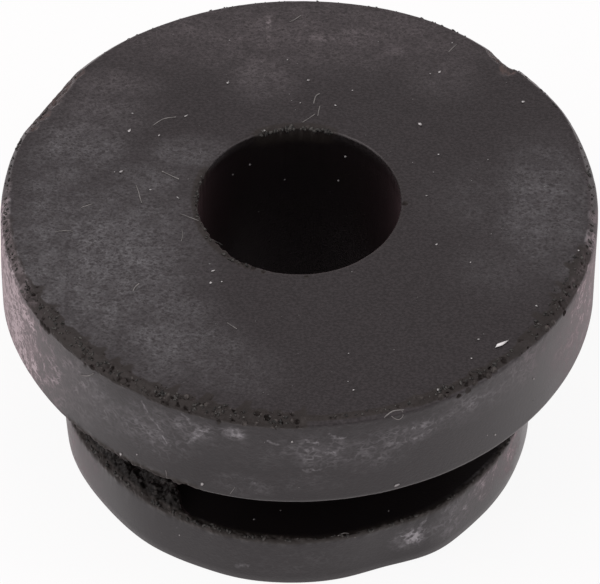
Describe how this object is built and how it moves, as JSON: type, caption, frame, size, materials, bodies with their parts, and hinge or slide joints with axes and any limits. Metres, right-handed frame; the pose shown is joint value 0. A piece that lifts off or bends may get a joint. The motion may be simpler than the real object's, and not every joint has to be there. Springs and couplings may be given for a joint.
{
  "type": "anti-vibration cap",
  "caption": "One-piece black rubber grommet with a wide top flange, a panel groove, a smaller lower flange and a straight through bore, used to damp vibration.",
  "frame": {"origin": "centre of the lower flange's flat face, on the bore axis", "axes": "+Z along the bore, from the lower flange to the wide top flange; +X and +Y lie in the lower face"},
  "size_m": [0.03, 0.03, 0.0154],
  "materials": {
    "rubber": "matt moulded rubber with pale dust bloom"
  },
  "bodies": {
    "root": {"rubber_cap": "rubber"}
  },
  "joints": []
}
